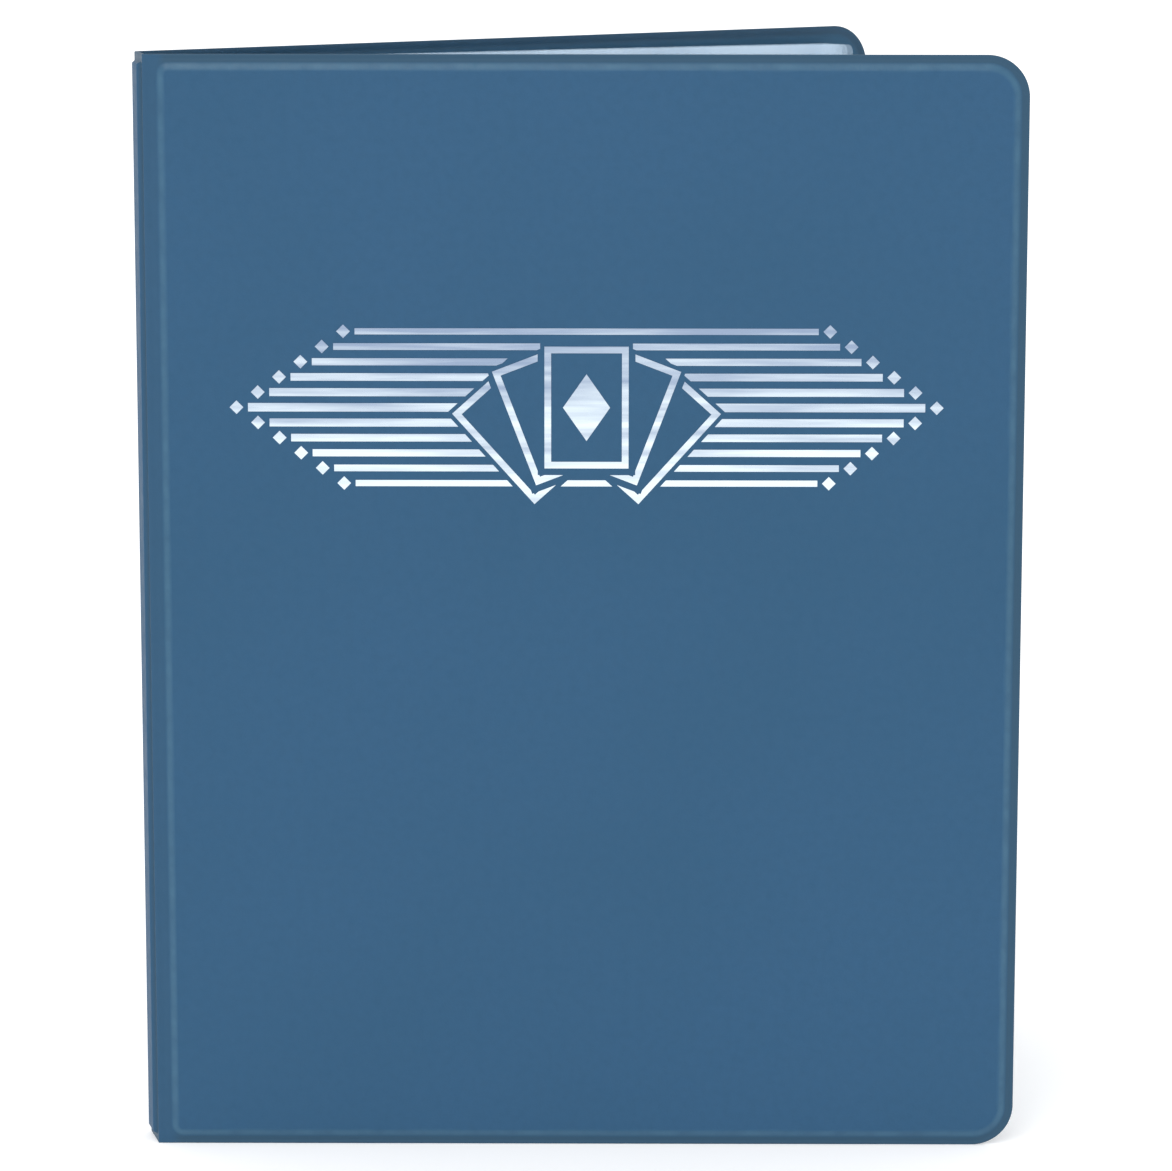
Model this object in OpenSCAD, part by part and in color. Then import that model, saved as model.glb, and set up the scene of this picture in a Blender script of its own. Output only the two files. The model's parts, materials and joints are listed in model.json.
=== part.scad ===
// Card binder with ten clear nine-pocket pages, standing slightly open on its bottom edges.
// +Z is up along the spine. The front cover is parallel to the XZ plane and faces -Y.
// The origin is at the middle of the spine's bottom edge, midway between the two hinge lines.

/* [Covers] */
// Height of the covers and the spine
cover_h = 305; // [280:1:330]
// Width of a cover, from its hinge line to its fore edge
cover_w = 239.5; // [220:0.5:260]
// Angle between the two covers as the binder stands
open_angle = 31; // [0:0.5:90]
// Radius of the two corners at a cover's fore edge
corner_r = 11.5; // [8:0.5:30]
// Width of the flat welded rim around each raised panel
rim_w = 2; // [1.5:0.1:4]
// Width of the bevel between the rim and the face of the panel
bevel_w = 2.5; // [1:0.1:3]
// Width of the flat hinge strip between a hinge line and the bevel of the cover's panel
hinge_w = 3.2; // [3:0.1:10]

/* [Sheets] */
// Thickness of the outer sheet
outer_t = 0.5; // [0.3:0.05:0.8]
// Thickness of the stiffening boards
board_t = 1.1; // [0.8:0.1:2]
// Thickness of the inner sheet
inner_t = 0.4; // [0.3:0.05:0.6]

/* [Pages] */
// Thickness of one clear film
film_t = 0.15; // [0.1:0.01:0.2]
// Room between the two films of a page
pocket_gap = 0.4; // [0.2:0.05:0.5]
// Spacing of the pages in the closed binder
page_pitch = 0.95; // [0.95:0.05:1.8]
// How far the covers reach past the pages at the fore edge
fore_margin = 10; // [4:0.5:15]
// How far the covers reach past the pages at the top and at the bottom
end_margin = 2.5; // [2:0.5:15]
// Width of the plain strip of a page between its bend and its first pocket
bind_w = 12; // [8:0.5:20]
// Width of a weld line between two pockets
weld_w = 2; // [1:0.25:4]
// Height of the open mouth above each row of pockets
mouth_h = 4; // [2:0.5:10]
// Radius of the thumb notch in the mouth of each pocket
notch_r = 8; // [5:0.5:12]
// How much less each page turns than the one outside it, as a share of its cover's turn
fan_step = 0.015; // [0.01:0.005:0.04]

/* [Foil emblem] */
// Height of the emblem's centre above the bottom edge
emblem_z = 209; // [60:1:240]
// Width of the emblem
emblem_w = 195; // [150:1:200]
// Height of the emblem
emblem_h = 46; // [30:1:46]
// Thickness of the foil
foil_t = 0.1; // [0.05:0.01:0.3]

/* [Hidden] */
pages_each_side = 5;
page_count = 2 * pages_each_side;
pocket_columns = 3;
pocket_rows = 3;

// Sheets of a cover. Its rim is the outer and the inner sheet welded together, with the hinge line
// in the middle of their thickness.
rim_t = outer_t + inner_t;
bead_r = rim_t / 2;
seam_y = outer_t - bead_r;
board_edge = 0.3;
panel_near_r = bevel_w + 1;
hinge_clear = 0.08;
weld_strip = 2.5;
hinge_relief = bead_r + 0.1;

// Pages
page_t = 2 * film_t + pocket_gap;
page_clear = 0.1;
side_gap = 0.5;
inner_gap = page_count * page_pitch + 2 * side_gap;
hinge_v = inner_gap / 2 + bead_r;
page_h = cover_h - 2 * end_margin;
stack_pitch = page_t + page_clear;
binding_t = 0.5;
binding_x = bead_r + binding_t;
first_bend = binding_x + page_t / 2 + 0.4;
page_w = cover_w - fore_margin - bend_x(pages_each_side);
page_corner_r = 2;
column_w = (page_w - bind_w - weld_w) / pocket_columns;
row_h = page_h / pocket_rows;
seam_end = 0.6;

// Spine
spine_strip = 1.2;
spine_bevel = 1.0;

// Emblem
card_w = emblem_h * 0.5;
card_l = emblem_h * 0.73;
foil_line = emblem_h * 0.04;
foil_gap = emblem_h * 0.025;
fan_tilt = 21;
fan_reach = emblem_h * 0.55;
wing_bars = 5;
bar_pitch = emblem_h / (2 * wing_bars + 1);

half_open = open_angle / 2;

cover_blue = [0.22, 0.37, 0.5];
lining_blue = [0.17, 0.3, 0.41];
board_grey = [0.6, 0.58, 0.54];
film_clear = [0.85, 0.9, 0.95, 0.4];
weld_clear = [0.93, 0.95, 0.98, 0.6];
foil_silver = [0.82, 0.86, 0.9];

function page_name(page) = str("page_", page < 10 ? "0" : "", page);

// Pages 1 to 5 turn with the front cover and 6 to 10 with the back cover.
// A page's rank counts from its cover inward.
function page_side(page) = page <= pages_each_side ? -1 : 1;
function page_rank(page) = page <= pages_each_side ? page : page_count + 1 - page;
function page_share(page) = 1 - fan_step * page_rank(page);
function page_turn(page) = page_side(page) * page_share(page) * half_open;
function bend_x(rank) = first_bend + (rank - 1) * stack_pitch;
function bend_y(page) = page_side(page) * (pages_each_side + 0.5 - page_rank(page)) * page_pitch;

// The binder's own frame, with X from the spine to the fore edge midway between the covers
module in_binder() {
    rotate([0, 0, half_open]) children();
}

// A cover's frame, with its hinge line on Z, X to its fore edge and its outer face towards -Y
module on_cover(side) {
    in_binder()
        translate([0, side * hinge_v, 0])
            rotate([0, 0, side * half_open])
                mirror([0, side > 0 ? 1 : 0, 0])
                    children();
}

// A page's frame, with its bend on Z, X to its free edge and its pockets towards -Y
module on_page(page) {
    in_binder()
        translate([bend_x(page_rank(page)), bend_y(page), end_margin])
            rotate([0, 0, page_turn(page)])
                children();
}

// Stands a flat outline up in the XZ plane, filling Y from near to far
module upright(near, far) {
    translate([0, far, 0]) rotate([90, 0, 0]) linear_extrude(height = far - near) children();
}

// Outline with square corners at X = x0 and rounded corners at X = x1
module cover_outline(x0, x1, z0, z1, r) {
    translate([x0, z0]) square([x1 - x0 - r, z1 - z0]);
    translate([x1 - r, z0 + r]) square([r, z1 - z0 - 2 * r]);
    for (z = [z0 + r, z1 - r])
        translate([x1 - r, z]) circle(r = r, $fn = 96);
}

// One bevelled block: full size at Y = 0, narrower by the bevel all round at Y = -rise
module bevelled_panel(w, h, r_near, r_far, rise, bevel) {
    near_side = [[0, 0], [r_near, 0], [r_near, -rise], [bevel, -rise]];
    far_side = [[w, 0], [w - r_far, 0], [w - r_far, -rise], [w - bevel, -rise]];
    ends = [[0, 0], [0, h], [-rise, h - bevel], [-rise, bevel]];
    translate([r_near, 0, 0])
        rotate([90, 0, 90])
            linear_extrude(height = w - r_near - r_far) polygon(ends);
    translate([0, 0, r_near]) linear_extrude(height = h - 2 * r_near) polygon(near_side);
    translate([0, 0, r_far]) linear_extrude(height = h - 2 * r_far) polygon(far_side);
    for (z = [r_near, h - r_near])
        translate([r_near, 0, z])
            rotate([90, 0, 0]) cylinder(r1 = r_near, r2 = r_near - bevel, h = rise, $fn = 64);
    for (z = [r_far, h - r_far])
        translate([w - r_far, 0, z])
            rotate([90, 0, 0]) cylinder(r1 = r_far, r2 = r_far - bevel, h = rise, $fn = 96);
}

module cover_board_shape() {
    inset = rim_w + bevel_w + board_edge;
    near_edge = hinge_w + bevel_w + board_edge;
    upright(seam_y - board_t, seam_y)
        cover_outline(near_edge, cover_w - inset, inset, cover_h - inset, corner_r - inset);
}

module cover_skin(side) {
    color(cover_blue) on_cover(side) difference() {
        union() {
            cylinder(r = bead_r, h = cover_h, $fn = 48);
            translate([0, -bead_r, 0]) cube([weld_strip, rim_t, cover_h]);
            upright(-bead_r, seam_y) cover_outline(0, cover_w, 0, cover_h, corner_r);
            translate([hinge_w, -bead_r, rim_w])
                bevelled_panel(cover_w - hinge_w - rim_w, cover_h - 2 * rim_w,
                               panel_near_r, corner_r - rim_w, board_t, bevel_w);
        }
        cover_board_shape();
    }
}

module cover_board(side) {
    color(board_grey) on_cover(side) cover_board_shape();
}

module cover_liner(side) {
    color(lining_blue) on_cover(side)
        upright(seam_y, bead_r) cover_outline(weld_strip, cover_w, 0, cover_h, corner_r);
}

module spine_board_shape() {
    half_w = hinge_v - spine_strip - spine_bevel - board_edge;
    inset = rim_w + bevel_w + board_edge;
    translate([-bead_r - board_t + outer_t, -half_w, inset])
        cube([board_t, 2 * half_w, cover_h - 2 * inset]);
}

// Outer sheet of the spine. Its long edges are hollow, round the beads on the covers' hinge lines.
module spine_skin() {
    panel_half = hinge_v - spine_strip;
    color(cover_blue) in_binder() difference() {
        union() {
            translate([-bead_r, -hinge_v, 0]) cube([outer_t, 2 * hinge_v, cover_h]);
            translate([-bead_r, panel_half, rim_w])
                rotate([0, 0, -90])
                    bevelled_panel(2 * panel_half, cover_h - 2 * rim_w,
                                   2 * spine_bevel, 2 * spine_bevel, board_t, spine_bevel);
        }
        spine_board_shape();
        for (side = [-1, 1]) {
            translate([0, side * hinge_v, -1])
                cylinder(r = bead_r + hinge_clear, h = cover_h + 2, $fn = 48);
            translate([0, side * hinge_v - hinge_relief, -1]) cube([rim_t, 2 * hinge_relief, cover_h + 2]);
        }
    }
}

module spine_board() {
    color(board_grey) in_binder() spine_board_shape();
}

module spine_liner() {
    half_w = hinge_v - spine_strip;
    color(lining_blue) in_binder() translate([seam_y, -half_w, 0]) cube([inner_t, 2 * half_w, cover_h]);
}

// Strip welded to the spine, with one stub for each page to bend from
module page_binding() {
    half_w = page_count / 2 * page_pitch;
    color(weld_clear) in_binder() translate([bead_r, 0, end_margin]) {
        translate([0, -half_w, 0]) cube([binding_t, 2 * half_w, page_h]);
        for (page = [1:page_count])
            translate([0, bend_y(page) - film_t, 0])
                cube([bend_x(page_rank(page)) - bead_r - page_t / 2 - page_clear, 2 * film_t, page_h]);
    }
}

// Full sheet of clear film behind the pockets, with the bead that the page bends on
module page_back_film(page) {
    color(film_clear) on_page(page) {
        cylinder(r = page_t / 2, h = page_h, $fn = 24);
        upright(page_t / 2 - film_t, page_t / 2) page_outline();
    }
}

// Outline of a page, from its bend at X = 0 to the rounded corners of its free edge
module page_outline() {
    r = page_corner_r;
    square([page_w - r, page_h]);
    translate([page_w - r - 1, r]) square([r + 1, page_h - 2 * r]);
    for (z = [r, page_h - r])
        translate([page_w - r, z]) circle(r = r, $fn = 12);
}

// Front films of the three rows of pockets, each open along its top edge
module page_pocket_film(page) {
    color(film_clear) on_page(page) upright(-page_t / 2, film_t - page_t / 2) intersection() {
        page_outline();
        for (row = [0:pocket_rows - 1])
            translate([bind_w, row * row_h]) difference() {
                square([page_w - bind_w, row_h - mouth_h]);
                for (column = [0:pocket_columns - 1])
                    translate([(column + 0.5) * column_w + weld_w / 2, row_h - mouth_h])
                        circle(r = notch_r, $fn = 12);
            }
    }
}

// Weld lines that join the two films of a page round its pockets
module page_welds(page) {
    color(weld_clear) on_page(page) upright(film_t - page_t / 2, page_t / 2 - film_t) intersection() {
        page_outline();
        union() {
            translate([page_t, 0]) square([bind_w + weld_w - page_t, page_h]);
            for (row = [0:pocket_rows - 1]) {
                translate([bind_w, row * row_h]) square([page_w - bind_w, weld_w]);
                for (column = [1:pocket_columns])
                    translate([bind_w + column * column_w, row * row_h])
                        square([weld_w, row_h - mouth_h - seam_end]);
            }
        }
    }
}

// Emblem of plain foil shapes: a fan of blank cards between two wings of bars,
// each bar with a diamond at its tip
module foil_emblem() {
    color(foil_silver) on_cover(-1)
        translate([cover_w / 2, 0, emblem_z])
            upright(-bead_r - board_t - foil_t, -bead_r - board_t) {
                card_fan();
                difference() {
                    for (turn = [0, 1]) mirror([turn, 0]) emblem_wing();
                    for (step = [-2:2]) card_face(step * fan_tilt, foil_gap);
                }
            }
}

// Five blank cards held in a fan. Each one is hidden where the card inside it covers it.
module card_fan() {
    for (side = [-1, 1], step = [1, 2]) difference() {
        card_frame(side * step * fan_tilt);
        for (inner = [0:step - 1]) card_face(side * inner * fan_tilt, foil_line);
    }
    card_frame(0);
    diamond(card_w * 0.28, card_w * 0.4);
}

// One card of the fan, grown or shrunk all round
module card_face(tilt, grow) {
    translate([0, -fan_reach]) rotate([0, 0, -tilt])
        translate([-card_w / 2 - grow, fan_reach - card_l / 2 - grow])
            square([card_w + 2 * grow, card_l + 2 * grow]);
}

module card_frame(tilt) {
    difference() {
        card_face(tilt, 0);
        card_face(tilt, -foil_line);
    }
}

module diamond(half_w, half_h) {
    polygon([[half_w, 0], [0, half_h], [-half_w, 0], [0, -half_h]]);
}

// Bars from the middle outward, each shorter than the one nearer the centre line
module emblem_wing() {
    for (bar = [-wing_bars:wing_bars]) {
        outer_end = emblem_w / 2 - abs(bar) * bar_pitch * 1.4;
        thickness = bar_pitch * (0.56 - 0.03 * abs(bar));
        translate([0, bar * bar_pitch - thickness / 2])
            square([outer_end - bar_pitch * 1.2, thickness]);
        translate([outer_end - bar_pitch * 0.45, bar * bar_pitch])
            diamond(bar_pitch * 0.45, bar_pitch * 0.45);
    }
}

spine_skin();
spine_board();
spine_liner();
page_binding();
cover_skin(-1);  // front_cover_skin
cover_board(-1);  // front_cover_board
cover_liner(-1);  // front_cover_liner
foil_emblem();
cover_skin(1);  // back_cover_skin
cover_board(1);  // back_cover_board
cover_liner(1);  // back_cover_liner
for (page = [1:page_count]) {
    page_back_film(page);
    page_pocket_film(page);
    page_welds(page);
}
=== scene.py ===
import json
import math

import bmesh
import bpy
import numpy as np
from mathutils import Euler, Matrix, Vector


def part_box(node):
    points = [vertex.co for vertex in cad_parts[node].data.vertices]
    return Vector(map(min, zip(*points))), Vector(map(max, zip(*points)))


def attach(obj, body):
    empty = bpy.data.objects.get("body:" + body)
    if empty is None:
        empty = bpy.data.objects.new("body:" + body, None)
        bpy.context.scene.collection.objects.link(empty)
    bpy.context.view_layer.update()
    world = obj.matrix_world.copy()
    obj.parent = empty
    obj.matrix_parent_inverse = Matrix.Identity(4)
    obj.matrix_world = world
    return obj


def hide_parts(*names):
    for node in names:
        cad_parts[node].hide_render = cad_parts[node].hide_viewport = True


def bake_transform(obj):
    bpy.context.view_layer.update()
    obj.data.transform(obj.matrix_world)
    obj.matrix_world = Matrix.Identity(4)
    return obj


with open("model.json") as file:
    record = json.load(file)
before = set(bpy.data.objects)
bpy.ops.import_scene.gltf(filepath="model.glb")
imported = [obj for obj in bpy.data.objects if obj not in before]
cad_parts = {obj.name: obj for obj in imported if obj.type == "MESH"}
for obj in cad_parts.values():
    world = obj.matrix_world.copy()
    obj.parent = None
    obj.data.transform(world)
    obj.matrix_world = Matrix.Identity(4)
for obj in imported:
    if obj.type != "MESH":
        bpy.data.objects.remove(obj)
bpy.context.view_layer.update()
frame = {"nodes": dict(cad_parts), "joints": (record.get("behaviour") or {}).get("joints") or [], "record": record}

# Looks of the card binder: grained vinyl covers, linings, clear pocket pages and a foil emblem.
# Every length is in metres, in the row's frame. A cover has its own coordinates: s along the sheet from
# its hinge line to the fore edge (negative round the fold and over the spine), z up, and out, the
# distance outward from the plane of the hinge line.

MM = 0.001

# ------------------------------------------------------------------ sizes, from the frame
joints = {j["name"]: j for j in frame["joints"]}
ratios = {c["joint"]: c["ratio"] for c in frame["record"]["behaviour"]["couplings"]}
hinge = Vector(joints["front_cover_hinge"]["pos_m"])
half_open = math.radians(-joints["front_cover_hinge"]["range_deg"][0])
hinge_v = hinge.xy.length

skin_low, skin_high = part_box("front_cover_skin")
lining_low, lining_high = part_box("front_cover_liner")
cover_h = skin_high.z
cover_w = skin_high.x - hinge.x
panel_out = hinge.y - skin_low.y
rim_out = skin_high.y - hinge.y
seam_out = hinge.y - lining_low.y
lining_out = hinge.y - lining_high.y

outer_t = rim_out - seam_out
corner_r = 11.5 * MM
rim_w = 2.0 * MM
rim_round = 0.25 * MM
bevel_w = 2.5 * MM
hinge_w = 3.2 * MM
near_r = bevel_w + 1 * MM
spine_strip = 1.2 * MM
spine_bevel = 1.0 * MM
weld_hollow = 0.1 * MM
panel_fall = 0.14 * MM

page_low, page_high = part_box("page_01_back_film")
page_z = page_low.z
page_h = page_high.z - page_low.z
film_t = 0.15 * MM
page_half_t = 0.35 * MM
page_corner_r = 2 * MM
bind_w = 12 * MM
weld_w = 2 * MM
weld_fade = 0.5 * MM
mouth_h = 4 * MM
notch_r = 8 * MM
pocket_columns = 3
pocket_rows = 3
row_h = page_h / pocket_rows

binding_low = rim_out
binding_high = 0.95 * MM
binding_half_w = 4.75 * MM

PAGES = range(1, 11)


def page_side(page):
    return -1 if page <= 5 else 1


def page_joint(page):
    return joints[f"page_{page:02d}_bend"]


# ------------------------------------------------------------------ directions in the binder
def direction(angle):
    """Unit vector at an angle from the binder's middle plane, in the row's frame."""
    return np.array([math.cos(half_open + angle), math.sin(half_open + angle)])


ALONG = direction(0)
ACROSS = direction(math.pi / 2)


def smoothstep(t):
    t = np.clip(t, 0, 1)
    return t * t * (3 - 2 * t)


def soft_ramp(t, soft=0.22):
    """0 to 1 in a straight slope with rounded ends."""
    t = np.clip(t, 0, 1)
    low = t * t / (2 * soft * (1 - soft))
    high = 1 - (1 - t) ** 2 / (2 * soft * (1 - soft))
    middle = (t - soft / 2) / (1 - soft)
    return np.where(t < soft, low, np.where(t > 1 - soft, high, middle))


# ------------------------------------------------------------------ building meshes from patches
SAME_POINT = 2e-6
TOO_SHORT = 1e-7


class Solid:
    """Grids of points, with a value of each mask at each point, merged at shared points into one closed mesh."""

    def __init__(self, masks=()):
        self.points, self.faces, self.masks = [], [], {name: [] for name in masks}

    def add_points(self, points, **masks):
        first = len(self.points)
        flat = np.asarray(points, float).reshape(-1, 3)
        self.points.extend(flat)
        for name, values in self.masks.items():
            given = np.broadcast_to(masks.get(name, 0.0), np.asarray(points).shape[:-1])
            values.extend(np.asarray(given, float).ravel())
        return first

    def grid(self, points, closed=False, **masks):
        """points is rows x columns x 3. A closed grid joins its last column to its first."""
        rows, columns = points.shape[:2]
        first = self.add_points(points, **masks)
        for r in range(rows - 1):
            for c in range(columns if closed else columns - 1):
                d = (c + 1) % columns
                self.faces.append([first + r * columns + c, first + r * columns + d,
                                   first + (r + 1) * columns + d, first + (r + 1) * columns + c])

    def cap(self, points, **masks):
        first = self.add_points(points, **masks)
        self.faces.append([first + i for i in range(len(points))])

    def build(self, name, material, sharp=40.0):
        mesh = bpy.data.meshes.new(name)
        mesh.from_pydata([tuple(p) for p in self.points], [], self.faces)
        for mask, values in self.masks.items():
            layer = mesh.attributes.new(mask, "FLOAT", "POINT")
            layer.data.foreach_set("value", np.array(values, np.float32))
        bm = bmesh.new()
        bm.from_mesh(mesh)
        bmesh.ops.remove_doubles(bm, verts=bm.verts, dist=SAME_POINT)
        bmesh.ops.dissolve_degenerate(bm, dist=TOO_SHORT, edges=bm.edges)
        bmesh.ops.recalc_face_normals(bm, faces=bm.faces)
        bm.to_mesh(mesh)
        bm.free()
        mesh.shade_smooth()
        mesh.set_sharp_from_angle(angle=math.radians(sharp))
        mesh.materials.append(material)
        obj = bpy.data.objects.new(name, mesh)
        bpy.context.scene.collection.objects.link(obj)
        return obj


# ------------------------------------------------------------------ cover sheets
fold_angle = math.pi / 2 - half_open
fold_w = rim_out * fold_angle
inner_fillet = 0.3 * MM


def place(side, s, z, out):
    """Row-frame points of a sheet that runs over a cover, round the fold and over the spine."""
    s, z, out = (np.asarray(a, float) for a in np.broadcast_arrays(s, z, out))
    turn = side * half_open
    over_cover, cover_normal = direction(turn), direction(turn + side * math.pi / 2)
    over_spine, spine_normal = -side * ACROSS, -ALONG
    home = side * hinge_v * ACROSS
    inside = np.minimum(out, 0)
    mitre = math.cos(half_open) / (1 + math.sin(half_open))
    reach = np.where(out < 0, inner_fillet - inside * mitre, 0)

    def at(direction_, distance, normal):
        return home + distance[..., None] * direction_ + out[..., None] * normal

    on_cover = at(over_cover, np.maximum(s, reach), cover_normal)
    on_spine = at(over_spine, np.maximum(-s - fold_w, reach), spine_normal)
    f = np.clip(-s / fold_w, 0, 1)
    angle = turn + side * (math.pi / 2 + f * fold_angle)
    spoke = np.stack([np.cos(half_open + angle), np.sin(half_open + angle)], axis=-1)
    round_fold = home + out[..., None] * spoke
    corner = home + out[..., None] * (cover_normal + spine_normal) / (1 + math.sin(half_open))
    start, end = at(over_cover, reach, cover_normal), at(over_spine, reach, spine_normal)
    g = f[..., None]
    inside_fold = (1 - g) ** 2 * start + 2 * g * (1 - g) * corner + g ** 2 * end
    fold = np.where((out < 0)[..., None], inside_fold, round_fold)
    flat = np.where((s >= 0)[..., None], on_cover, np.where((s <= -fold_w)[..., None], on_spine, fold))
    return np.concatenate([flat, z[..., None]], axis=-1)


# How far the welding die presses the flexible strip at the hinge, as a share of the rim's
FOLD_PRESS = 0.3
FOLD_CELLS = 8
WIDE_CELLS = 44
TALL_CELLS = 56
# Heights of the sheet's rows beside the spine: edge, rim, the spine panel's bevel, then the rest of the
# cover panel's near corner
CORNER_ROWS = np.concatenate([[rim_round, 0.55 * rim_w], rim_w + np.linspace(0, spine_bevel, 6),
                              rim_w + np.linspace(spine_bevel, near_r, 5)[1:]])
CORNER_SHARES = (CORNER_ROWS - CORNER_ROWS[0]) / (CORNER_ROWS[-1] - CORNER_ROWS[0])
ARC_CELLS = len(CORNER_ROWS) - 1
# Distances of the sheet's columns over the spine from the fold, from the spine's middle outward
SPINE_COLUMNS = np.array([4.9, 4.1, 3.3, 2.6, 2.2, 2.08, 1.95, 1.7, 1.45, 1.32, 1.2, 0.8, 0.4]) * MM


def outline(left, inset, r_near, r_far):
    """The bottom, right, top and left sides of a closed outline in (s, z), cut at its corners' middles.
    Bottom and top run from the hinge outward, left and right run up."""
    right, low = cover_w - inset, inset
    steps = np.linspace(0, math.pi / 4, ARC_CELLS + 1)

    def arc(start):
        a = math.radians(start) + steps
        return np.stack([right - r_far + r_far * np.cos(a), low + r_far + r_far * np.sin(a)], axis=-1)

    def near_half(side_at, other_at, end, shares):
        """From the middle of the near corner along one of its sides: places along it and across it."""
        start = other_at + r_near * (1 - math.cos(math.pi / 4))
        along = start + shares * (max(end, other_at + r_near) - start)
        short = np.maximum(0, other_at + r_near - along)
        return along, side_at + r_near - np.sqrt(r_near ** 2 - short ** 2)

    along, across = near_half(low, left, hinge_w + near_r, np.linspace(0, 1, ARC_CELLS + 1))
    near_bottom = np.stack([along, across], axis=-1)
    along, across = near_half(left, low, CORNER_ROWS[-1], CORNER_SHARES)
    near_left = np.stack([across, along], axis=-1)
    far_bottom, far_right = arc(270), arc(315)

    def straight(start, end, cells):
        return np.linspace(start, end, cells + 1)[1:-1]

    def flip(points):
        return np.stack([points[:, 0], cover_h - points[:, 1]], axis=-1)

    bottom = np.concatenate([near_bottom, straight(near_bottom[-1], far_bottom[0], WIDE_CELLS),
                             far_bottom])
    top = flip(bottom)
    right_side = np.concatenate([far_right, straight(far_right[-1], flip(far_right)[-1], TALL_CELLS),
                                 flip(far_right)[::-1]])
    left_side = np.concatenate([near_left, straight(near_left[-1], flip(near_left)[-1], TALL_CELLS),
                                flip(near_left)[::-1]])
    return bottom, right_side, top, left_side


def open_path(sides):
    bottom, right, top, _ = sides
    return np.concatenate([bottom, right[1:-1], top[::-1]])


def closed_path(sides):
    bottom, right, top, left = sides
    return np.concatenate([bottom, right[1:-1], top[::-1], left[::-1][1:-1]])


def coons(sides):
    """A grid of points that fills an outline."""
    bottom, right, top, left = sides
    u = np.linspace(0, 1, len(bottom))[None, :, None]
    v = np.linspace(0, 1, len(left))[:, None, None]
    between = (1 - v) * bottom[None] + v * top[None] + (1 - u) * left[:, None] + u * right[:, None]
    corners = ((1 - u) * (1 - v) * bottom[0] + u * (1 - v) * bottom[-1]
               + (1 - u) * v * top[0] + u * v * top[-1])
    return between - corners


def edge_distance(s, z):
    """Distance from the base of a cover's panel with its rounded corners, inward."""
    up = np.minimum(z, cover_h - z) - rim_w
    distance = up
    for along, r in ((s - hinge_w, near_r), (cover_w - rim_w - s, corner_r - rim_w)):
        in_corner = (along < r) & (up < r)
        distance = np.where(in_corner, r - np.hypot(r - along, r - up), np.minimum(distance, along))
    return distance


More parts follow.
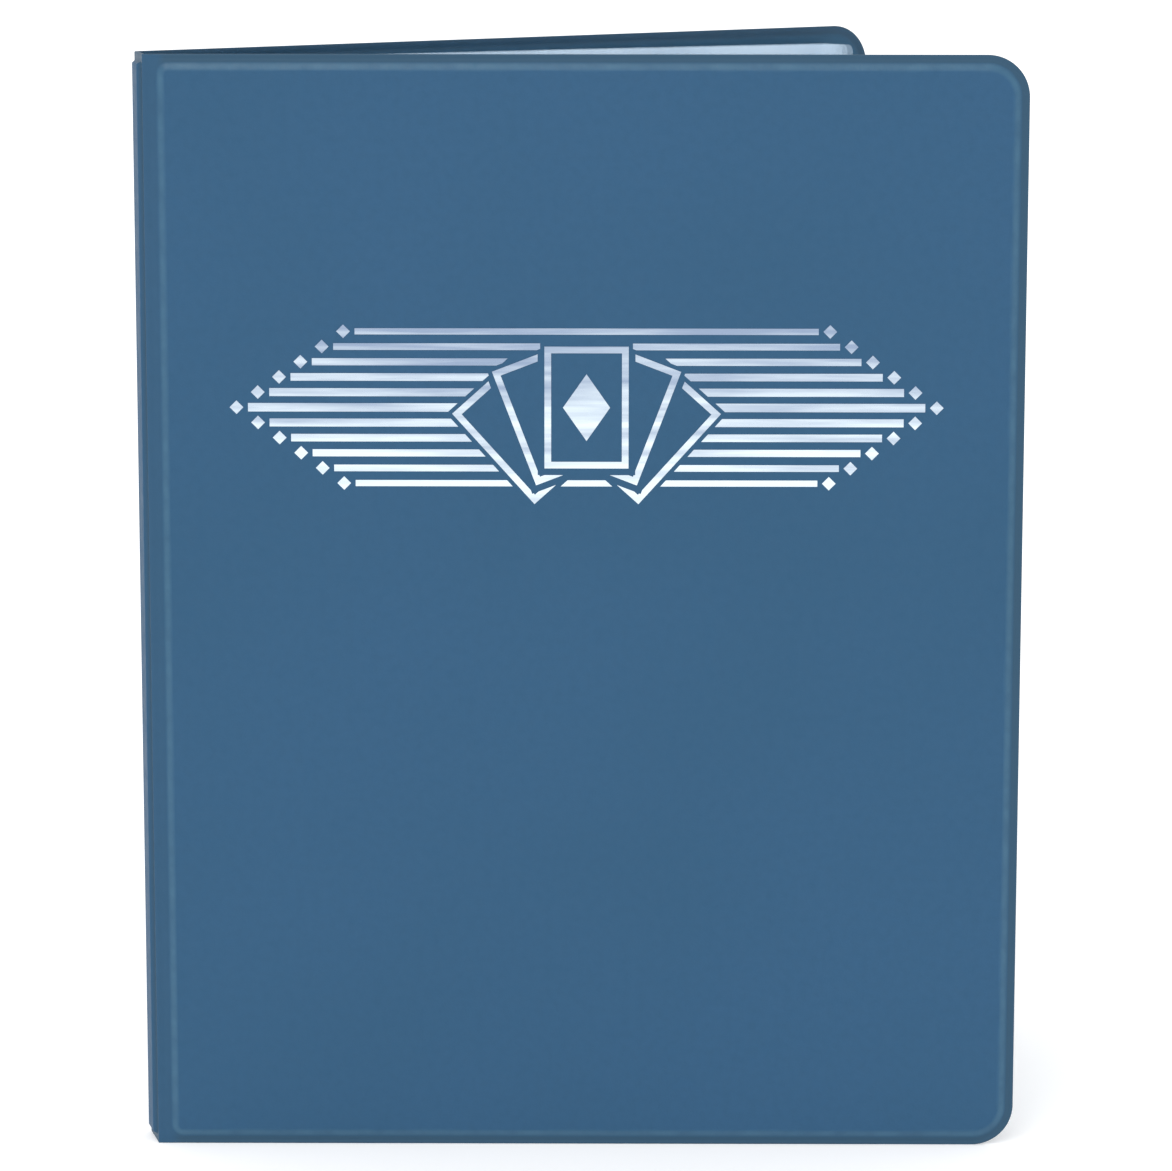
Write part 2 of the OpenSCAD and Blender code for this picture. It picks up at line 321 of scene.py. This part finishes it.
def cover_sheet(name, side, material, edge, loops, crown, spine_out, back):
    """One sheet of a cover, with its half of the spine.

    edge: (inset, out) of the rows that round its free edge, from the seam outward.
    loops: (left, inset, near radius, out, pressed, and the bevel's gloss and lighter colour, which is partly
    stress whitening and partly a painted highlight) of outlines from the hinge line inward.
    crown, spine_out: height of the panel and of the spine's half.
    back: height of the hidden face, from that of the shown one.
    """
    solid = Solid(masks=("pressed", "stretched"))
    strip_s = -np.concatenate([[fold_w + hinge_v], fold_w + SPINE_COLUMNS,
                               np.linspace(fold_w, 0, FOLD_CELLS + 1)])
    first = outline(0, loops[0][1], 0, corner_r - loops[0][1])
    rows_z = first[3][:, 1]

    def strip(z, out, pressed):
        points = place(side, strip_s[None, :], z[:, None], out)
        solid.grid(points, pressed=pressed * np.where(strip_s > -fold_w, FOLD_PRESS, 1.0), stretched=0.0)

    s_grid, z_grid = np.meshgrid(strip_s, rows_z)
    relief, spine_pressed = spine_out(s_grid, z_grid)
    lip = np.array([[inset, out] for inset, out in edge])
    for flip in (False, True):
        z = np.concatenate([lip[:, 0], [rows_z[0]]])
        out = np.concatenate([lip[:, 1], [loops[0][3]]])[:, None] * np.ones(len(strip_s))
        out[-1] = relief[0]
        strip(cover_h - z if flip else z, out, 1.0)
    strip(rows_z, relief, spine_pressed)
    shown_column = np.concatenate([
        place(side, strip_s[0], lip[:, 0], lip[:, 1]), place(side, strip_s[0], rows_z, relief[:, 0]),
        place(side, strip_s[0], cover_h - lip[::-1, 0], lip[::-1, 1])])

    ring = [open_path(outline(0, inset, 0, corner_r - inset)) for inset, _ in edge] + [open_path(first)]
    heights = [out for _, out in edge] + [loops[0][3]]
    points = np.stack([place(side, p[:, 0], p[:, 1], h) for p, h in zip(ring, heights)])
    solid.grid(points, pressed=1.0, stretched=0.0)

    paths, outs, pressed, stretched = [], [], [], []
    for left, inset, r, out, press, stretch in loops:
        sides = outline(left, inset, r, corner_r - inset)
        path = closed_path(sides)
        from_hinge = smoothstep((path[:, 0] - hinge_w) / (3 * MM))
        paths.append(path)
        outs.append(np.full(len(path), out))
        pressed.append(press * (FOLD_PRESS + (1 - FOLD_PRESS) * from_hinge))
        stretched.append(np.full(len(path), stretch))
    path = np.stack(paths)
    solid.grid(place(side, path[..., 0], path[..., 1], np.stack(outs)), closed=True,
               pressed=np.stack(pressed), stretched=np.stack(stretched))
    inner = coons(sides)
    inner_out = loops[-1][3] + crown(inner[..., 0], inner[..., 1])
    solid.grid(place(side, inner[..., 0], inner[..., 1], inner_out), pressed=0.0, stretched=0.0)

    # The hidden face, row for row behind the shown one, down to the seam at the edge
    strip(rows_z, back(relief), 1.0)
    seam_z = np.array([edge[0][0], rows_z[0]])
    seam = np.stack([np.full(len(strip_s), edge[0][1]), back(relief)[0]])
    strip(seam_z, seam, 1.0)
    strip(cover_h - seam_z, seam, 1.0)
    solid.grid(np.stack([place(side, ring[0][:, 0], ring[0][:, 1], edge[0][1]),
                         place(side, ring[-1][:, 0], ring[-1][:, 1], back(loops[0][3]))]), pressed=1.0)
    solid.grid(place(side, path[..., 0], path[..., 1], back(np.stack(outs))), closed=True, pressed=1.0)
    solid.grid(place(side, inner[..., 0], inner[..., 1], back(inner_out)), pressed=1.0)
    hidden_column = place(side, strip_s[0], rows_z, back(relief[:, 0]))
    solid.cap(np.concatenate([shown_column, hidden_column[::-1]]), pressed=1.0)

    sheet = solid.build(name, material, sharp=50)
    middle = cover_h / 2
    start = place(side, -fold_w - 0.5 * MM, middle, rim_out)
    end = place(side, 0.5 * MM, middle, rim_out)
    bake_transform(sheet)
    return sheet


# Where the outlines lie, as shares of the rim's width and of the bevel's
RIM_SHARES = (0, 0.12, 0.28, 0.42, 0.58, 0.74, 0.88, 1.0)
BEVEL_SHARES = (0.08, 0.16, 0.26, 0.4, 0.5, 0.6, 0.74, 0.84, 0.92, 1.0)


def bevel_loops(base, rise):
    """Outlines of the outer sheet: the flat rim with its weld line, then the bevel of the panel."""
    loops = []
    for q in RIM_SHARES:
        line = smoothstep((q - 0.12) / 0.3) * (1 - smoothstep((q - 0.58) / 0.3))
        inset = rim_round + q * (rim_w - rim_round)
        loops.append((q * hinge_w, inset, q * near_r, base - weld_hollow * line, 1.0, 0.0))
    for t in BEVEL_SHARES:
        d = t * bevel_w
        # The bevel's gloss and lighter colour, strongest part way up it: partly stress whitening, partly a painted
        # highlight.
        stretch = float(smoothstep(t / 0.4)) * (1 - 0.75 * float(smoothstep((t - 0.6) / 0.4)))
        out = base + rise * float(soft_ramp(t))
        loops.append((hinge_w + d, rim_w + d, near_r - d, out, 0.6 * (1 - t), stretch))
    return loops


def padded(s, z):
    """Slight fall of the panel's face towards its bevel, and the board's faint unevenness."""
    d = edge_distance(s, z) - bevel_w
    fall = panel_fall * (1 - np.exp(-np.maximum(d, 0) / (5 * MM)))
    uneven = np.sin(s * 41 + 1.3) * np.sin(z * 33 + 0.4) + 0.6 * np.sin(s * 93 + z * 57)
    return fall + 0.015 * MM * uneven * smoothstep(d / (12 * MM))


def outer_spine(s, z):
    """Height of the outer sheet over the spine and the fold, and how far it is pressed flat."""
    d = np.minimum(-s - fold_w - spine_strip, np.minimum(z - rim_w, cover_h - rim_w - z)) / spine_bevel
    rise = panel_out - rim_out
    return rim_out + rise * soft_ramp(d), 1 - soft_ramp(d)


def inner_spine(s, z):
    return np.full(s.shape, lining_out), np.where(-s < fold_w + spine_strip, 1.0, 0.3)


# The lining's weld line and the low rise inside it, in mm: left, inset, near radius, height and pressing
LINING_STEPS = (
    (0.0, 0.2, 0.0, 0.0, 1.0),
    (1.2, 1.3, 1.0, 0.0, 1.0),
    (2.0, 1.8, 1.6, 0.1, 1.0),
    (2.5, 2.2, 2.2, 0.1, 1.0),
    (3.3, 2.7, 2.6, 0.0, 0.5),
    (4.2, 3.4, 3.2, -0.03, 0.0),
    (5.2, 4.4, 3.6, -0.05, 0.0))


def lining_loops():
    return [(left * MM, inset * MM, r * MM, lining_out + height * MM, press, 0.0)
            for left, inset, r, height, press in LINING_STEPS]


def behind_outer(out):
    return out - outer_t


def behind_lining(out):
    return np.full(np.shape(out), seam_out)


def lining_crown(s, z):
    uneven = np.sin(s * 37 + 0.7) * np.sin(z * 29 + 1.1) + 0.5 * np.sin(s * 71 - z * 43)
    return 0.02 * MM * uneven * smoothstep(edge_distance(s, z) / (20 * MM))


# ------------------------------------------------------------------ pages
bend_half = 0.7 * MM
droop = 2.3 * MM
droop_power = 1.25
long_wave = 0.2 * MM
short_wave = 0.12 * MM
# Where the page's two films part, from its bend
split_start = 8 * MM
split_w = 6 * MM


class Page:
    """One clear page. Its own coordinates are x from the bend, y through its thickness and z up."""

    def __init__(self, number):
        self.number, self.side = number, page_side(number)
        self.name, self.body = f"page_{number:02d}", f"page_{number:02d}"
        joint = page_joint(number)
        self.bend = np.array(joint["pos_m"][:2])
        self.turn = self.side * ratios[joint["name"]] * half_open
        self.stub = float(self.bend @ ALONG) - binding_low - 0.2 * MM
        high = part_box(self.name + "_back_film")[1]
        reach = high.x - self.bend[0]
        lean = half_open + self.turn
        self.width = (reach - page_half_t * abs(math.sin(lean))) / math.cos(lean)
        self.column_w = (self.width - bind_w - weld_w) / pocket_columns

    def place(self, x, y, z):
        """Row-frame points, with the page's bend, its sag towards the free edge and its slow waves."""
        x, y, z = (np.asarray(a, float) for a in np.broadcast_arrays(x, y, z))
        free = np.clip(x / self.width, 0, 1)
        wave = long_wave * np.sin(9 * x / self.width + 2.1 * z / page_h)
        wave += short_wave * np.sin(21 * z / page_h + 4 * free)
        y = y + wave * smoothstep((x - 4 * MM) / (40 * MM))
        sag = droop * free ** droop_power
        angle = half_open + self.turn * smoothstep((x + bend_half) / (2 * bend_half))
        along = np.stack([np.cos(angle), np.sin(angle)], axis=-1)
        across = np.stack([-np.sin(angle), np.cos(angle)], axis=-1)
        flat = self.bend + x[..., None] * along + y[..., None] * across
        return np.concatenate([flat, (page_z + z - sag)[..., None]], axis=-1)

    def ends(self, x):
        """Lower and upper edge of the page at x, with its rounded free corners."""
        past = np.clip((np.asarray(x, float) - (self.width - page_corner_r)) / page_corner_r, 0, 1)
        cut = page_corner_r * (1 - np.sqrt(np.maximum(0, 1 - past ** 2)))
        return cut, page_h - cut

    def corner_columns(self):
        return self.width - page_corner_r + page_corner_r * np.sin(np.linspace(0, math.pi / 2, 8))

    def fused(self, x, z):
        """1 on a weld line between the two films, 0 inside a pocket."""
        across = (x - bind_w) % self.column_w
        up = z % row_h
        near = np.minimum(np.minimum(across - weld_w, self.column_w - across), up - weld_w)
        near = np.minimum(near, x - bind_w - weld_w)
        return 1 - smoothstep(near / weld_fade)


def film(solid, page, x, edges, rows, shape):
    """Adds a closed thin film to solid. edges are its lower and upper edge at each x, rows are shares of
    its height, and shape gives the film's middle, thickness and fused mask from x and z."""
    low, high = edges
    x_grid = np.broadcast_to(x[None, :], (len(rows), len(x)))
    z_grid = low[None, :] + rows[:, None] * (high - low)[None, :]
    middle, thick, values = shape(x_grid, z_grid)
    near = page.place(x_grid, middle - thick / 2, z_grid)
    far = page.place(x_grid, middle + thick / 2, z_grid)
    solid.grid(near, fused=values)
    solid.grid(far, fused=values)
    for cut in (np.s_[0], np.s_[-1], np.s_[:, 0], np.s_[:, -1]):
        solid.grid(np.stack([near[cut], far[cut]]), fused=np.stack([values[cut], values[cut]]))


def spread(start, end, step):
    return np.linspace(start, end, max(2, int(round((end - start) / step)) + 1))


def back_sheet(page, material):
    """Full sheet behind the pockets, which also is the strip that bends from the binding."""
    solid = Solid(masks=("fused",))
    x = np.concatenate([
        [-page.stub, -bend_half], np.linspace(-0.5, 0.5, 5) * MM,
        [bend_half, 1.2 * MM, 2.5 * MM, 5 * MM],
        np.linspace(split_start, split_start + split_w, 7),
        spread(16 * MM, page.width - page_corner_r - MM, 5.5 * MM), page.corner_columns()])

    def shape(x_, z_):
        opened = smoothstep((x_ - split_start) / split_w)
        return opened * (page_half_t - film_t / 2), film_t * (2 - opened), 0.6 * (1 - opened)

    film(solid, page, x, page.ends(x), np.linspace(0, 1, 55), shape)
    piece = solid.build(page.name + "_sheet", material)
    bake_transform(piece)
    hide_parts(page.name + "_back_film")
    return piece


def pocket_films(page, material):
    """Front films of the rows of pockets, each a little swollen between its welds and open at its top."""
    solid = Solid(masks=("fused",))
    beside = np.array([0, 0.6, 1.2, 2.0, 2.6, 3.4, 4.6, 6.5]) * MM
    foot_rows = np.array([0, 1, 2, 2.6, 3.4, 4.4, 5.4, 7]) / 88
    notch_angles = np.radians([-90, -74, -60, -45, -30, -15, 0, 15, 30, 45, 60, 74, 90])
    columns = [bind_w]
    for c in range(pocket_columns):
        start = bind_w + c * page.column_w
        middle = start + (page.column_w + weld_w) / 2
        columns.extend(start + beside)
        columns.extend(spread(start + 10 * MM, middle - notch_r - 3 * MM, 5 * MM))
        columns.extend(middle + notch_r * np.sin(notch_angles))
        columns.extend(spread(middle + notch_r + 3 * MM, start + page.column_w - 8 * MM, 5 * MM))
        if c < pocket_columns - 1:
            columns.extend(start + page.column_w + weld_w - beside[:0:-1])
    columns.extend(page.width - np.array([5.2, 4.0, 3.0, 2.0, 1.3, 0.7, 0.3, 0.1, 0]) * MM)
    columns.extend([page.width - page_corner_r])
    x = np.unique(np.round(np.array(columns), 7))
    page_low_z, page_high_z = page.ends(x)

    closed_y, open_y = page_half_t - 1.5 * film_t, -page_half_t + film_t / 2

    def shape(x_, z_):
        across = (x_ - bind_w) % page.column_w
        up = z_ % row_h
        room = 1.0
        for d in (across - weld_w, page.column_w - across, up - weld_w, x_ - bind_w - weld_w):
            room = room * smoothstep(d / (3.2 * MM))
        return closed_y + (open_y - closed_y) * room, np.full(x_.shape, film_t), 0.5 * page.fused(x_, z_)

    for row in range(pocket_rows):
        middles = bind_w + (np.arange(pocket_columns) + 0.5) * page.column_w + weld_w / 2
        off = np.min(np.abs(x[:, None] - middles[None, :]), axis=1)
        notch = np.sqrt(np.maximum(0, notch_r ** 2 - off ** 2))
        high = np.minimum((row + 1) * row_h - mouth_h - notch, page_high_z)
        low = np.maximum(np.full(len(x), row * row_h), page_low_z)
        rows = np.concatenate([foot_rows, np.linspace(0.12, 1, 14)])
        film(solid, page, x, (low, high), rows, shape)
    piece = solid.build(page.name + "_pockets", material)
    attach(piece, page.body)
    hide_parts(page.name + "_pocket_film")
    return piece


def weld_lines(page, material):
    """Pressed lines that join the two films round the pockets, each with soft long edges."""
    solid = Solid(masks=("fused",))
    profile = np.array([[0.0, 0.06], [0.0, 0.34], [0.12, 0.385], [0.88, 0.385], [1.0, 0.34], [1.0, 0.06],
                        [0.88, 0.015], [0.12, 0.015]])
    across, height = profile[:, 0] * weld_w, profile[:, 1] * MM

    def line(start, end, level, upright):
        steps = spread(start, end, 6 * MM)
        run = np.broadcast_to(steps[:, None], (len(steps), len(across)))
        side_ = np.broadcast_to(level + across[None, :], run.shape)
        y = np.broadcast_to(height[None, :], run.shape)
        points = page.place(side_, y, run) if upright else page.place(run, y, side_)
        solid.grid(points, closed=True, fused=1.0)
        solid.cap(points[0], fused=1.0)
        solid.cap(points[-1], fused=1.0)

    reach = page.width - 0.4 * MM
    # How far a level line rises over the foot of the upright ones
    lap = 0.1 * MM
    for row in range(pocket_rows):
        end = reach - (2 * MM if row == 0 else 0)
        line(bind_w, end, row * row_h + lap, False)
        for column in range(pocket_columns + 1):
            level = bind_w + column * page.column_w
            last = column == pocket_columns
            foot = row * row_h + (page_corner_r if last and row == 0 else weld_w)
            level -= 0.2 * MM if last else 0
            line(foot, (row + 1) * row_h - mouth_h - 0.6 * MM, level, True)
    piece = solid.build(page.name + "_weld_lines", material)
    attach(piece, page.body)
    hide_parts(page.name + "_welds")
    return piece


def binding_strip(material):
    """Strip heat-sealed into the spine, with a low foot under each page."""
    solid = Solid(masks=("fused",))
    feet = [float(np.array(page_joint(p)["pos_m"][:2]) @ ACROSS) for p in PAGES]
    v = np.linspace(-binding_half_w, binding_half_w, 153)
    u = np.full(v.shape, binding_high)
    for foot in feet:
        u += 0.22 * MM * np.exp(-((v - foot) / (0.2 * MM)) ** 2)
    from_end = binding_half_w - np.abs(v)
    u -= 0.25 * MM * (1 - smoothstep(from_end / (0.4 * MM)))
    v = np.concatenate([v, [binding_half_w, -binding_half_w]])
    u = np.concatenate([u, [binding_low, binding_low]])
    flat = u[:, None] * ALONG + v[:, None] * ACROSS
    heights = np.concatenate([[0, 0.15 * MM], spread(0.6 * MM, page_h - 0.6 * MM, 20 * MM),
                              [page_h - 0.15 * MM, page_h]]) + page_z
    rings = np.stack([np.concatenate([flat, np.full((len(flat), 1), z)], axis=1) for z in heights])
    solid.grid(rings, closed=True, fused=1.0)
    solid.cap(rings[0], fused=1.0)
    solid.cap(rings[-1], fused=1.0)
    strip = solid.build("page_binding_strip", material)
    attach(strip, "spine")
    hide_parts("page_binding")
    return strip


# ------------------------------------------------------------------ materials
class Surface:
    """A Principled material whose variation comes from textures in the row's own coordinates."""

    def __init__(self, name, roughness, metallic=0.0, specular=0.5, alpha=1.0):
        self.material = bpy.data.materials.new(name)
        self.material.use_nodes = True
        self.tree = self.material.node_tree
        self.shader = self.tree.nodes["Principled BSDF"]
        self.shader.inputs["Roughness"].default_value = roughness
        self.shader.inputs["Metallic"].default_value = metallic
        self.shader.inputs["Specular IOR Level"].default_value = specular
        self.shader.inputs["Alpha"].default_value = alpha
        self.coords = self.tree.nodes.new("ShaderNodeTexCoord").outputs["Object"]

    def node(self, kind, **settings):
        made = self.tree.nodes.new(kind)
        for key, value in settings.items():
            setattr(made, key, value)
        return made

    def link(self, source, target):
        self.tree.links.new(source, target)

    def to_shader(self, source, socket):
        self.link(source, self.shader.inputs[socket])

    def scaled(self, scale):
        mapping = self.node("ShaderNodeMapping")
        mapping.inputs["Scale"].default_value = scale
        self.link(self.coords, mapping.inputs["Vector"])
        return mapping.outputs["Vector"]

    def noise(self, scale, detail=3.0, coords=None):
        made = self.node("ShaderNodeTexNoise")
        made.inputs["Scale"].default_value = scale
        made.inputs["Detail"].default_value = detail
        self.link(coords or self.coords, made.inputs["Vector"])
        return made.outputs["Fac"]

    def cells(self, scale, coords=None):
        made = self.node("ShaderNodeTexVoronoi", feature="SMOOTH_F1")
        made.inputs["Scale"].default_value = scale
        made.inputs["Smoothness"].default_value = 0.35
        self.link(coords or self.coords, made.inputs["Vector"])
        return made.outputs["Distance"]

    def mask(self, name):
        return self.node("ShaderNodeAttribute", attribute_name=name).outputs["Fac"]

    def math(self, operation, a, b):
        made = self.node("ShaderNodeMath", operation=operation)
        for socket, value in zip(made.inputs, (a, b)):
            if isinstance(value, (int, float)):
                socket.default_value = value
            else:
                self.link(value, socket)
        return made.outputs[0]

    def remap(self, source, low, high, from_low=0.0, from_high=1.0):
        made = self.node("ShaderNodeMapRange")
        made.inputs["From Min"].default_value = from_low
        made.inputs["From Max"].default_value = from_high
        made.inputs["To Min"].default_value = low
        made.inputs["To Max"].default_value = high
        self.link(source, made.inputs["Value"])
        return made.outputs["Result"]

    def mix(self, factor, a, b):
        made = self.node("ShaderNodeMix", data_type="RGBA")
        self.link(factor, made.inputs[0])
        for socket, value in ((made.inputs[6], a), (made.inputs[7], b)):
            if isinstance(value, tuple):
                socket.default_value = (*value, 1)
            else:
                self.link(value, socket)
        return made.outputs[2]

    def bump(self, height, distance, strength=1.0, under=None):
        made = self.node("ShaderNodeBump")
        made.inputs["Distance"].default_value = distance
        made.inputs["Strength"].default_value = strength
        self.link(height, made.inputs["Height"])
        if under is not None:
            self.link(under, made.inputs["Normal"])
        return made.outputs["Normal"]


def vinyl(name, tones, darker_pressed_tone, whitening_and_highlight_tone, roughness, grain_scale, grain_depth):
    """Embossed vinyl: uneven tone, a fine grain that the welds press flat, a darker colour where the sheet is
    pressed, and a glossier bevel, taut over the board's edge, whose lighter colour is partly stress whitening and
    partly a painted highlight."""
    surface = Surface(name, roughness[0], specular=0.3)
    pressed, stretched = surface.mask("pressed"), surface.mask("stretched")
    drift = surface.remap(surface.noise(9, 2), 0, 1, 0.35, 0.65)
    colour = surface.mix(drift, tones[0], tones[1])
    mottle = surface.remap(surface.noise(420, 4), 0, 0.5, 0.4, 0.75)
    colour = surface.mix(mottle, colour, tones[2])
    # Darker colour wherever the mask pressed is high: the rim, the fold, the spine's edges and the hidden faces.
    colour = surface.mix(surface.remap(pressed, 0, 0.85), colour, darker_pressed_tone)
    # The bevel's lighter colour, broken up by noise: partly stress whitening, partly a painted highlight.
    patchy = surface.remap(surface.noise(160, 5), 0.16, 0.34, 0.35, 0.65)
    whitening_and_highlight = surface.math("MULTIPLY", stretched, patchy)
    surface.to_shader(surface.mix(whitening_and_highlight, colour, whitening_and_highlight_tone), "Base Color")
    fine = surface.math("MULTIPLY", surface.noise(grain_scale * 2.3), 0.5)
    grain = surface.math("ADD", surface.cells(grain_scale), fine)
    flattened = surface.math("MULTIPLY", grain, surface.remap(pressed, 1.0, 0.3))
    soft = surface.bump(surface.noise(55, 2), 0.00012, 0.5)
    surface.to_shader(surface.bump(flattened, grain_depth, 0.7, under=soft), "Normal")
    dull = surface.remap(surface.noise(300, 3), roughness[0], roughness[1], 0.3, 0.7)
    gloss = surface.math("MAXIMUM", surface.math("MULTIPLY", pressed, 0.1),
                         surface.math("MULTIPLY", stretched, 0.24))
    surface.to_shader(surface.math("SUBTRACT", dull, gloss), "Roughness")
    return surface.material


def clear_film(name, tones, alpha, fused_alpha, roughness):
    """Clear film: faint haze and streaks, and milkier where two films are fused."""
    surface = Surface(name, roughness[0], specular=0.5)
    fused = surface.mask("fused")
    haze = surface.noise(30, 3, surface.scaled((1, 1, 0.25)))
    tone = surface.mix(surface.remap(haze, 0, 1, 0.35, 0.65), tones[0], tones[1])
    surface.to_shader(tone, "Base Color")
    body = surface.remap(haze, alpha * 0.85, alpha * 1.2, 0.35, 0.65)
    surface.to_shader(surface.math("ADD", body, surface.math("MULTIPLY", fused, fused_alpha)), "Alpha")
    wrinkles = surface.bump(surface.noise(38, 2), 0.0004, 0.5)
    ribs = surface.node("ShaderNodeTexWave", wave_type="BANDS", bands_direction="DIAGONAL")
    ribs.inputs["Scale"].default_value = 420
    surface.link(surface.coords, ribs.inputs["Vector"])
    pressed = surface.math("MULTIPLY", ribs.outputs["Fac"], fused)
    surface.to_shader(surface.bump(pressed, 0.00008, 0.6, under=wrinkles), "Normal")
    gloss = surface.remap(surface.noise(120, 3), roughness[0], roughness[1], 0.3, 0.7)
    surface.to_shader(gloss, "Roughness")
    return surface.material


def foil(low, high):
    """Stamped foil, with fine streaks and a slightly crazed surface; its colour is a painted reflection, brighter
    towards its lower edge.
    """
    surface = Surface("foil_stamp", 0.28, metallic=1.0)
    split = surface.node("ShaderNodeSeparateXYZ")
    surface.link(surface.coords, split.inputs[0])
    # Painted reflection: bright at the foil's lower edge, darker towards its top, broken by streaks.
    up = surface.remap(split.outputs["Z"], 0, 1, low.z, high.z)
    streak = surface.noise(60, 4, surface.scaled((0.35, 1, 6)))
    level = surface.math("ADD", up, surface.remap(streak, -0.45, 0.35, 0.3, 0.7))
    surface.to_shader(surface.mix(level, (0.76, 0.86, 0.93), (0.29, 0.37, 0.51)), "Base Color")
    surface.to_shader(surface.bump(surface.noise(900, 3), 0.00003, 0.5), "Normal")
    surface.to_shader(surface.remap(surface.noise(140, 3), 0.2, 0.38, 0.3, 0.7), "Roughness")
    return surface.material


def greyboard():
    """Pressed pulp board, with flecks and a fibrous surface."""
    surface = Surface("greyboard", 0.9, specular=0.2)
    flecks = surface.remap(surface.noise(900, 5), 0, 1, 0.45, 0.62)
    tone = surface.mix(surface.noise(60, 3), (0.33, 0.3, 0.25), (0.4, 0.37, 0.32))
    surface.to_shader(surface.mix(flecks, tone, (0.2, 0.18, 0.15)), "Base Color")
    fibres = surface.noise(700, 4, surface.scaled((1, 1, 0.3)))
    surface.to_shader(surface.bump(fibres, 0.00006, 0.8), "Normal")
    surface.to_shader(surface.remap(fibres, 0.82, 0.98), "Roughness")
    return surface.material


# Each vinyl: its tones, then a darker colour where the sheet is pressed, then the bevel's lighter colour, partly
# stress whitening and partly a painted highlight.
cover_vinyl = vinyl("cover_vinyl", ((0.018, 0.0795, 0.16), (0.02, 0.0835, 0.172), (0.0163, 0.073, 0.148)),
                    (0.021, 0.067, 0.116), (0.08, 0.2, 0.29), (0.54, 0.64), 1500, 0.00005)
lining_vinyl = vinyl("lining_vinyl", ((0.018, 0.074, 0.135), (0.02, 0.079, 0.146), (0.016, 0.066, 0.123)),
                     (0.0145, 0.055, 0.102), (0.05, 0.13, 0.2), (0.55, 0.65), 2200, 0.00003)
page_film = clear_film("page_film", ((0.64, 0.8, 0.95), (0.7, 0.85, 0.98)), 0.16, 0.15, (0.12, 0.24))
weld_film = clear_film("weld_film", ((0.66, 0.81, 0.94), (0.74, 0.87, 0.98)), 0.28, 0.22, (0.2, 0.34))
board_material = greyboard()
foil_low, foil_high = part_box("foil_emblem")
foil_material = foil(foil_low, foil_high)

# ------------------------------------------------------------------ the pieces
for cover_side, word in ((-1, "front"), (1, "back")):
    skin = cover_sheet(
        f"{word}_cover_sheet", cover_side, cover_vinyl,
        edge=[(0, seam_out), (0, 0.2 * MM), (0.08 * MM, 0.38 * MM)],
        loops=bevel_loops(rim_out, panel_out - rim_out - panel_fall),
        crown=padded, spine_out=outer_spine, back=behind_outer)
    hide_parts(f"{word}_cover_skin")
    lining = cover_sheet(
        f"{word}_cover_lining", cover_side, lining_vinyl,
        edge=[(0, seam_out), (0, -0.25 * MM), (0.06 * MM, -0.39 * MM)],
        loops=lining_loops(), crown=lining_crown, spine_out=inner_spine, back=behind_lining)
    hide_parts(f"{word}_cover_liner")
    if cover_side < 0:
        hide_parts("spine_skin")
        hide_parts("spine_liner")

for number in PAGES:
    page = Page(number)
    back_sheet(page, page_film)
    pocket_films(page, page_film)
    weld_lines(page, weld_film)
binding_strip(weld_film)


def dress(node, material):
    mesh = frame["nodes"][node].data
    mesh.materials.clear()
    mesh.materials.append(material)


for node in ("spine_board", "front_cover_board", "back_cover_board"):
    dress(node, board_material)
dress("foil_emblem", foil_material)

# ------------------------------------------------------------------ floor, light and camera
floor_half = 30.0
floor_mesh = bpy.data.meshes.new("floor")
floor_mesh.from_pydata([(-floor_half, -floor_half, 0), (floor_half, -floor_half, 0),
                        (floor_half, floor_half, 0), (-floor_half, floor_half, 0)], [], [(0, 1, 2, 3)])
floor = bpy.data.objects.new("floor", floor_mesh)
bpy.context.scene.collection.objects.link(floor)
floor_surface = Surface("floor_paper", 0.95, specular=0.0)
floor_surface.shader.inputs["Emission Color"].default_value = (1.0, 1.0, 1.0, 1)
floor_surface.shader.inputs["Emission Strength"].default_value = 0.2
paper = floor_surface.mix(floor_surface.noise(3, 2), (0.93, 0.93, 0.932), (0.945, 0.945, 0.947))
floor_surface.to_shader(paper, "Base Color")
floor_mesh.materials.append(floor_surface.material)

world = bpy.data.worlds.new("studio")
world.use_nodes = True
world.node_tree.nodes["Background"].inputs["Color"].default_value = (1.0, 1.0, 1.0, 1)
world.node_tree.nodes["Background"].inputs["Strength"].default_value = 1.0
bpy.context.scene.world = world


def wide_sun(name, comes_from, spread_deg, strength):
    """Soft light from one direction, given by its azimuth from -Y towards -X and its height, in degrees."""
    azimuth, height = (math.radians(a) for a in comes_from)
    light = bpy.data.lights.new(name, "SUN")
    light.energy, light.angle = strength, math.radians(spread_deg)
    holder = bpy.data.objects.new(name, light)
    towards = Vector((math.sin(azimuth) * math.cos(height), math.cos(azimuth) * math.cos(height),
                      -math.sin(height)))
    holder.rotation_euler = towards.to_track_quat("-Z", "Y").to_euler()
    bpy.context.scene.collection.objects.link(holder)


wide_sun("key_light", (16, 38), 32, 0.88)

camera_data = bpy.data.cameras.new("camera")
camera_data.lens = 145.43
camera_data.clip_start = 0.05
camera_data.clip_end = 100
camera = bpy.data.objects.new("camera", camera_data)
camera.location = (0.12665, -1.28825, 0.38963)
pitch_down, yaw_right, roll = (math.radians(a) for a in (10.176, -0.245, 0.05))
camera.rotation_euler = (Euler((math.pi / 2 - pitch_down, 0, -yaw_right)).to_matrix()
                         @ Euler((0, 0, roll)).to_matrix()).to_euler()
bpy.context.scene.collection.objects.link(camera)
bpy.context.scene.camera = camera
bpy.context.scene.view_settings.view_transform = "Standard"
bpy.context.scene.cycles.transparent_max_bounces = 64
